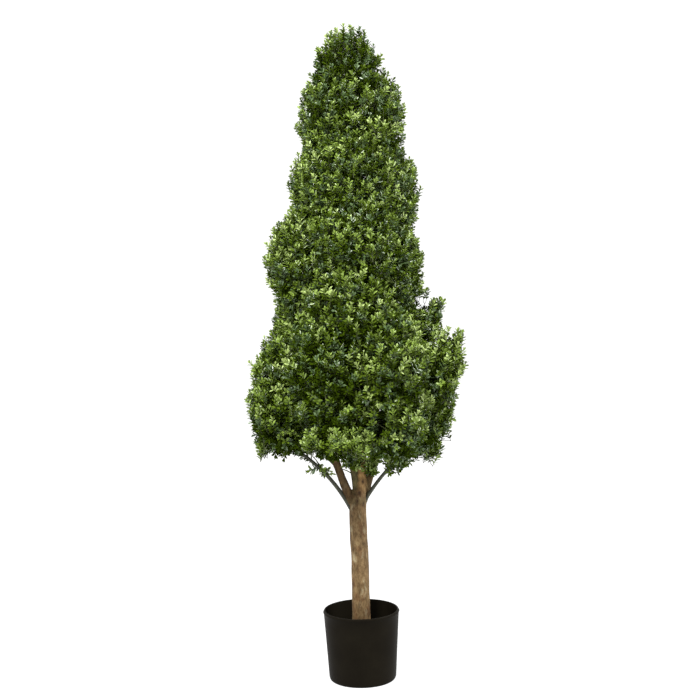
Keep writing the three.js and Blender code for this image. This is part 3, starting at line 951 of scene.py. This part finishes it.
def hangerSprays(hanger, s, random):
    limb, between, count, spread, shift, light = hanger
    hung = s["hung"]
    roots = placesOn(limb, random.uniform(*between, count))
    tips = roots + random.uniform(-1, 1, (count, 3)) * spread + shift
    aims = unit(tips - roots) + hung["rise"] * upward + wandering(count, s, random)
    tips = tips + hung["lift"] * s["sprayLength"] * unit(aims)
    owners = gapsToMasses(tips * squeeze, 0).argmin(1)
    return bunch(tips, aims, owners, random.normal(light, hung["lightScatter"], count), roots)


def shootSprays(shoot, s, random):
    mass, towards, past, count, spread, light = shoot
    owner = masses.index(mass)
    towards = unit(np.array(towards))
    limit = s["shot"]["limit"]
    middle = (hearts[owner] + reaches[owner] * towards) / squeeze + past * towards
    tips = middle + spread * random.normal(0, 1, (count, 3)).clip(-limit, limit)
    aims = s["outward"] * towards + s["rise"] * upward + wandering(count, s, random)
    light = random.normal(light, s["shot"]["lightScatter"], count)
    return bunch(tips, aims, np.full(count, owner), light)


def inPockets(points):
    inside = np.zeros(len(points), bool)
    for *beside, shift, half in pockets:
        middle = np.mean([hearts[masses.index(mass)] / squeeze for mass in beside], axis=0)
        inside |= (((points - middle - shift) / half) ** 2).sum(1) < 1
    return inside


def middlesOf(sprays, s):
    return sprays["tip"] - 0.5 * s["sprayLength"] * sprays["aim"]


def crownSprays(s, random):
    sprays = joined([layerSprays(number, s, random) for number in range(len(s["layers"]))])
    sprays = kept(sprays, ~inPockets(sprays["tip"]) & ~inPockets(middlesOf(sprays, s)))
    extras = [hangerSprays(hanger, s, random) for hanger in hangers]
    extras += [shootSprays(shoot, s, random) for shoot in shoots]
    sprays = joined([sprays] + extras)
    hung = ~np.isnan(sprays["root"][:, 0])
    sprays = kept(sprays, hung | clearOfLimbs(middlesOf(sprays, s), s["limbClearance"]))
    sprays["foot"] = sprays["tip"] - s["sprayLength"] * sprays["aim"]
    return sprays


def grow(root, ends, twigs, s):
    # one stem forks towards two halves of its tips, and so on down to single twigs
    if len(ends) == 1:
        twigs.append((root, ends[0], 1, 1))
        return
    fork = root + s["forkAt"] * (ends.mean(0) - root)
    spread = ends - ends.mean(0)
    order = np.argsort(spread @ np.linalg.svd(spread, full_matrices=False)[2][0])
    half = len(ends) // 2
    twigs.append((root, fork, len(ends), len(ends) - half))
    grow(fork, ends[order[:half]], twigs, s)
    grow(fork, ends[order[half:]], twigs, s)


def twigRadius(carried, s):
    return s["twigRadius"] * np.asarray(carried, float) ** s["twigPower"]


def stemOf(i, drop):
    # where a mass's stem starts, on a bough's tip in its space or on the trunk, and where it forks
    heart = hearts[i] / squeeze
    inside = [tip for tip in boughTips if lengths(tip * squeeze - hearts[i]) < reaches[i]]
    if inside:
        return min(inside, key=lambda tip: lengths(tip - heart)), heart
    return trunkAt(min(heart[2] - drop * reaches[i], trunkTop)), heart


def twigMesh(name, twigs, s, material):
    # three-sided twigs, each as thick at its start and end as the tips that it carries there ask for
    starts, ends, first, last = [np.array(column) for column in zip(*twigs)]
    thick, thin = twigRadius(first, s), twigRadius(last, s)
    along = unit(ends - starts + 1e-9)
    helper = np.where(abs(along[:, 2:]) > 0.9, [[1.0, 0, 0]], [[0, 0, 1.0]])
    across = unit(np.cross(along, helper))
    side = np.cross(along, across)
    starts = starts - along * thick[:, None]
    corners = []
    for middle, radius in ((starts, thick), (ends, thin)):
        for turn in (0, 2 * np.pi / 3, 4 * np.pi / 3):
            outward = math.cos(turn) * across + math.sin(turn) * side
            corners.append(middle + radius[:, None] * outward)
    vertices = np.stack(corners, 1).reshape(-1, 3)
    pattern = np.array([[0, 1, 4, 3], [1, 2, 5, 4], [2, 0, 3, 5]])
    faces = (6 * np.arange(len(twigs))[:, None, None] + pattern[None]).reshape(-1, 4)
    return newPiece(name, vertices.tolist(), faces.tolist(), material)


# one leaf, and the sprays that are dealt out over the tips
leaf = {
    "length": 0.0130,
    "width": 0.0052,
    "outline": [(0.30, 0.32), (0.70, 0.50)],  # share of the length along, share of the width out
    "kite": [(0.55, 0.46)],  # the plainer outline of the leaves further in
    "fold": 0.18,  # how far the edges lift off the middle, in widths
    "droop": 0.08,
}
spray = {
    "variants": 6,
    "tipPart": [  # share of the way up, leaves, degrees off the twig, size
        (1.00, 2, 10, 0.66),
        (0.97, 2, 28, 0.90),
        (0.86, 2, 42, 1.04),
        (0.73, 2, 50, 1.08),
    ],
    "bodyPart": [
        (0.60, 2, 54, 1.08),
        (0.47, 2, 57, 1.06),
        (0.34, 2, 60, 1.04),
        (0.20, 2, 62, 1.00),
    ],
    "wander": 7,  # degrees
    "twist": 0.2,  # of a whorl, in radians, as the two below
    "stray": 0.12,  # of a leaf in its whorl
    "tilt": 0.4,  # of a leaf about its length
    "smallest": 0.88,
    "largest": 1.12,
    "shapeSeed": 5,
    "dealSeed": 7,
}


def leafShape(root, along, face, size, outline, s):
    # two halves that fold along the middle
    side = np.cross(along, face)
    length, width = size * s["length"], size * s["width"]
    edges = []
    for hand in (1, -1):
        for share, out in outline:
            lift = s["fold"] * width / length - 0.5 * s["droop"] * (share > 0.5)
            edge = root + along * length * share + hand * side * width * out
            edges.append(edge + face * length * lift)
    tip = root + along * length - face * length * s["droop"]
    vertices = [root, tip, *edges]
    right = list(range(2, 2 + len(outline)))
    left = list(range(2 + len(outline), 2 + 2 * len(outline)))
    return [list(vertex) for vertex in vertices], [[0, 1, *right[::-1]], [0, *left, 1]]


def sprayShape(whorls, height, random, outline, leafSettings, s):
    leaves = []
    for number, (share, count, angle, size) in enumerate(whorls):
        first = np.pi / 2 * number + random.normal(0, s["twist"])
        for k in range(count):
            turn = first + 2 * np.pi * k / count + random.normal(0, s["stray"])
            lean = math.radians(angle + random.normal(0, s["wander"]))
            outward = np.array([math.cos(turn), math.sin(turn), 0])
            along = math.sin(lean) * outward + math.cos(lean) * upward
            face = -math.cos(lean) * outward + math.sin(lean) * upward
            tilt = random.normal(0, s["tilt"])
            face = math.cos(tilt) * face + math.sin(tilt) * np.cross(along, face)
            scale = size * random.uniform(s["smallest"], s["largest"])
            root = upward * height * share
            leaves.append(leafShape(root, along, face, scale, outline, leafSettings))
    return gathered(leaves)


def makeSprays(s, leafSettings, height):
    # the model sprays in one collection, in order of name: tip and body parts, then plainer ones
    random = np.random.default_rng(s["shapeSeed"])
    shelf = bpy.data.collections.new("sprays")
    rows = itertools.product(("outline", "kite"), ("tipPart", "bodyPart"))
    for row, (outline, part) in enumerate(rows):
        for variant in range(s["variants"]):
            shape = sprayShape(s[part], height, random, leafSettings[outline], leafSettings, s)
            model = newPiece(f"spray_{row}_{variant}", *shape)
            bpy.context.scene.collection.objects.unlink(model)
            shelf.objects.link(model)
    return shelf


def sprayTree():
    # puts a spray on every point, its foot on the point and its length along the point's aim
    tree = bpy.data.node_groups.new("sprayDealer", "GeometryNodeTree")
    kinds = {"Geometry": "Geometry", "Sprays": "Collection", "Variants": "Int", "Smallest": "Float"}
    kinds |= {"Largest": "Float", "Seed": "Int", "Material": "Material"}
    sockets = {}
    for name, kind in kinds.items():
        socket = tree.interface.new_socket(name, in_out="INPUT", socket_type="NodeSocket" + kind)
        sockets[name] = socket.identifier
    tree.interface.new_socket("Geometry", in_out="OUTPUT", socket_type="NodeSocketGeometry")
    given = addNode(tree, "NodeGroupInput", {})

    def add(kind, links, **values):
        return addNode(tree, kind, links, **values)

    def calculated(operation, first, second):
        return add("ShaderNodeMath", {0: first, 1: second}, operation=operation)[0]

    def attribute(name, kind):
        return add("GeometryNodeInputNamedAttribute", {"Name": name}, data_type=kind)[0]

    def dealt(kind, seedStep, links):
        # a random value for each spray, the same for its tip part and its body part
        seed = calculated("ADD", given["Seed"], seedStep)
        links = {"Seed": seed, "ID": attribute("spray", "INT"), **links}
        return add("FunctionNodeRandomValue", links, data_type=kind)

    turn = dealt("FLOAT", 1, {3: 2 * math.pi})[1]
    chance = dealt("FLOAT", 2, {2: given["Smallest"], 3: given["Largest"]})[1]
    size = calculated("MULTIPLY", chance, attribute("grown", "FLOAT"))
    variant = dealt("INT", 3, {5: calculated("SUBTRACT", given["Variants"], 1)})[2]
    partFirst = calculated("MULTIPLY", attribute("part", "INT"), given["Variants"])
    index = calculated("ADD", variant, partFirst)
    roll = add("FunctionNodeAxisAngleToRotation", {"Axis": (0, 0, 1), "Angle": turn})[0]
    links = {"Rotation": roll, "Vector": attribute("aim", "FLOAT_VECTOR")}
    aimed = add("FunctionNodeAlignRotationToVector", links, axis="Z")[0]
    links = {"Separate Children": True, "Reset Children": True, "Collection": given["Sprays"]}
    links = {
        "Points": given["Geometry"],
        "Instance": add("GeometryNodeCollectionInfo", links)[0],
        "Pick Instance": True,
        "Instance Index": index,
        "Rotation": aimed,
        "Scale": size,
    }
    real = add("GeometryNodeRealizeInstances", {0: add("GeometryNodeInstanceOnPoints", links)[0]})[0]
    painted = add("GeometryNodeSetMaterial", {"Geometry": real, "Material": given["Material"]})[0]
    add("NodeGroupOutput", {"Geometry": painted})
    return tree, sockets


# leaf colours, from the darkest to the lightest, each dealt out by spray by its painted light: the
# darker tints paint shade and the lighter ones light, and the cool tint's greyer green is a painted
# reflection of the sky on shaded leaves
tints = {
    "deep": {"colours": ("2b3a03", "394a08"), "roughness": 0.45, "gloss": 0.03},
    # the cool tint's greyer green is a painted reflection of the sky on leaves in shade
    "cool": {"colours": ("44572d", "546a40"), "roughness": 0.34, "gloss": 0.7},
    "green": {"colours": ("4c5f0f", "5b701c"), "roughness": 0.34, "gloss": 0.55},
    # the two lightest tints: partly the tips' own lighter colour, partly painted light where sprays
    # are lit
    "fresh": {"colours": ("6e8430", "809642"), "roughness": 0.36, "gloss": 0.55},
    "pale": {"colours": ("8a9c4e", "9bad69"), "roughness": 0.38, "gloss": 0.5},
}
deals = {  # shares of the tints, in the same order, for both parts of the sprays at each layer; deeper layers get darker shares as painted shade, and tip parts get the lighter tints, partly their own colour and partly painted light
    "tip": [
        (0.16, 0.20, 0.32, 0.22, 0.10),
        (0.36, 0.18, 0.32, 0.11, 0.03),
        (0.66, 0.10, 0.24, 0, 0),
        (0.92, 0, 0.08, 0, 0),
    ],
    "body": [
        (0.46, 0.20, 0.34, 0, 0),
        (0.70, 0.12, 0.18, 0, 0),
        (0.92, 0, 0.08, 0, 0),
        (1.0, 0, 0, 0, 0),
    ],
}
bodyScatter = 0.1  # how much more the body part's light scatters than its tip part's


def dealTints(shares, light):
    # the darkest tint goes to the sprays with the least painted light, and so on up
    bounds = np.cumsum(shares)
    places = (np.argsort(np.argsort(light)) + 0.5) / len(light)
    return np.array(list(tints))[np.searchsorted(bounds / bounds[-1], places).clip(0, len(tints) - 1)]


def tierOf(mass):
    return mass.split("_")[0]


def massesByTier():
    # each tier's name, its masses' numbers and the nodes that its pieces replace
    for tier in sorted({tierOf(mass) for mass in masses}):
        own = [i for i, mass in enumerate(masses) if tierOf(mass) == tier]
        yield tier, own, ["foliage_" + masses[i] for i in own]


def massTwigs(i, sprays, s):
    # a mass's own limb forks to the outermost sprays; the deeper ones sit on the nearest fork below
    start, heart = stemOf(i, s["stem"]["drop"])
    own = (sprays["owner"] == i) & np.isnan(sprays["root"][:, 0])
    outer = sprays["foot"][own & (sprays["layer"] == 0)]
    bend = start + s["stem"]["bendAt"] * (heart - start) - s["stem"]["sag"] * reaches[i] * upward
    twigs = [(start, bend, len(outer), len(outer)), (bend, heart, len(outer), len(outer))]
    grow(heart, outer, twigs, s)
    joints = kdtree.KDTree(len(twigs))
    for k, twig in enumerate(twigs):
        joints.insert(twig[1], k)
    joints.balance()
    for foot in sprays["foot"][own & (sprays["layer"] > 0)]:
        near = [np.array(co) for co, _, _ in joints.find_n(foot, s["nearForks"])]
        reach = lengths(foot - heart)
        below = [co for co in near if lengths(co - heart) < reach]
        twigs.append((below[0] if below else near[0], foot, 1, 1))
    return twigs


def sprayTwigs(own, s):
    # each spray's own spine, and a twig from the limb to those that sit on one
    spine = s["spraySpine"]
    ends = own["foot"] + spine["share"] * s["sprayLength"] * own["aim"]
    twigs = [(foot, end, 1, spine["taper"]) for foot, end in zip(own["foot"], ends)]
    hung = kept(own, ~np.isnan(own["root"][:, 0]))
    return twigs + [(root, foot, 2, 1) for root, foot in zip(hung["root"], hung["foot"])]


def bareTwig(twig, s):
    # it bows a little on its way out
    limb, share, reach, radius = twig
    shape = s["sideTwig"]
    steps = np.linspace(0, 1, shape["pieces"] + 1)[:, None]
    bow = shape["bow"] * lengths(reach) * np.sin(np.pi * steps)
    points = placesOn(limb, share) + steps * reach + bow * upward
    radii = radius * np.linspace(1, shape["taper"], len(points))
    carried = (radii / s["twigRadius"]) ** (1 / s["twigPower"])
    return [(*points[k : k + 2], *carried[k : k + 2]) for k in range(shape["pieces"])]


def makeTwigs(sprays, s):
    wrap = mottled("twigPlastic", 0.5, (120, 3), (0.3, "2a3018"), (0.7, "4a5226"))
    for tier, own, nodes in massesByTier():
        twigs = []
        for i in own:
            twigs += massTwigs(i, sprays, s)
            twigs += sprayTwigs(kept(sprays, sprays["owner"] == i), s)
        if tier == "skirt":
            for twig in sideTwigs:
                twigs += bareTwig(twig, s)
        settle(twigMesh("twigs_" + tier, twigs, s, wrap), "foliage", *nodes)


def sprayPiece(name, sprays, rows, s, dealer, values):
    # one piece from the parts of sprays that share a tint and a tier
    index, part = np.array(rows).T
    feet, layers = sprays["foot"][index], sprays["layer"][index]
    worker = newPiece("points", feet.tolist(), [])
    part = part + 2 * (layers > 0)  # the plainer models further in
    grown = np.array(s["grown"])[layers] * byLevel(feet[:, 2], s["grownByLevel"], s)
    setAttribute(worker.data, "aim", "FLOAT_VECTOR", sprays["aim"][index].ravel())
    setAttribute(worker.data, "spray", "INT", index.astype(np.int32))
    setAttribute(worker.data, "part", "INT", part.astype(np.int32))
    setAttribute(worker.data, "grown", "FLOAT", grown)
    modifier = worker.modifiers.new("sprays", "NODES")
    modifier.node_group = dealer
    for identifier, value in values.items():
        modifier[identifier] = value
    return plainMesh(worker, name)


def tintsOf(sprays, s, random):
    # the tints of the sprays' tip parts and body parts
    tip, body = (np.empty(len(sprays["light"]), object) for _ in range(2))
    for number in range(len(s["layers"])):
        own = sprays["layer"] == number
        light = sprays["light"][own]
        tip[own] = dealTints(deals["tip"][number], light)
        light = light + bodyScatter * random.normal(0, 1, len(light))
        body[own] = dealTints(deals["body"][number], light)
    return tip, body


def makeLeaves(sprays, s, random):
    shelf = makeSprays(spray, leaf, s["sprayLength"])
    dealer, sockets = sprayTree()
    materials = {}
    for name, tint in tints.items():
        stops = zip((0.35, 0.65), tint["colours"])
        gloss = {"Specular_IOR_Level": tint["gloss"]}
        materials[name] = mottled(name + "Leaf", tint["roughness"], (160, 3), *stops, **gloss)
    inputs = {
        "Sprays": shelf,
        "Variants": spray["variants"],
        "Smallest": spray["smallest"],
        "Largest": spray["largest"],
        "Seed": spray["dealSeed"],
    }
    dealt = tintsOf(sprays, s, random)
    for tier, own, nodes in massesByTier():
        inTier = np.isin(sprays["owner"], own)
        for tint in tints:
            rows = []
            for part, partTints in enumerate(dealt):
                rows += [(index, part) for index in np.flatnonzero(inTier & (partTints == tint))]
            if not rows:
                continue
            given = {**inputs, "Material": materials[tint]}
            values = {sockets[name]: value for name, value in given.items()}
            piece = sprayPiece(f"leaves_{tint}_{tier}", sprays, rows, s, dealer, values)
            settle(piece, "foliage", *nodes)
    for model in list(shelf.objects):
        bpy.data.objects.remove(model)
    bpy.data.collections.remove(shelf)


def makeCrown(s):
    random = np.random.default_rng(s["seed"])
    sprays = crownSprays(s, random)
    print("sprays:", [int((sprays["layer"] == number).sum()) for number in range(len(s["layers"]))])
    makeTwigs(sprays, s)
    makeLeaves(sprays, s, random)


makeCrown(crown)
print("crown made")

meshes = [o for o in bpy.data.objects if o.type == "MESH" and not o.hide_render]
counts = {o.name: sum(len(face.vertices) - 2 for face in o.data.polygons) for o in meshes}
print("triangles:", sum(counts.values()), "most:", max(counts.items(), key=lambda item: item[1]))
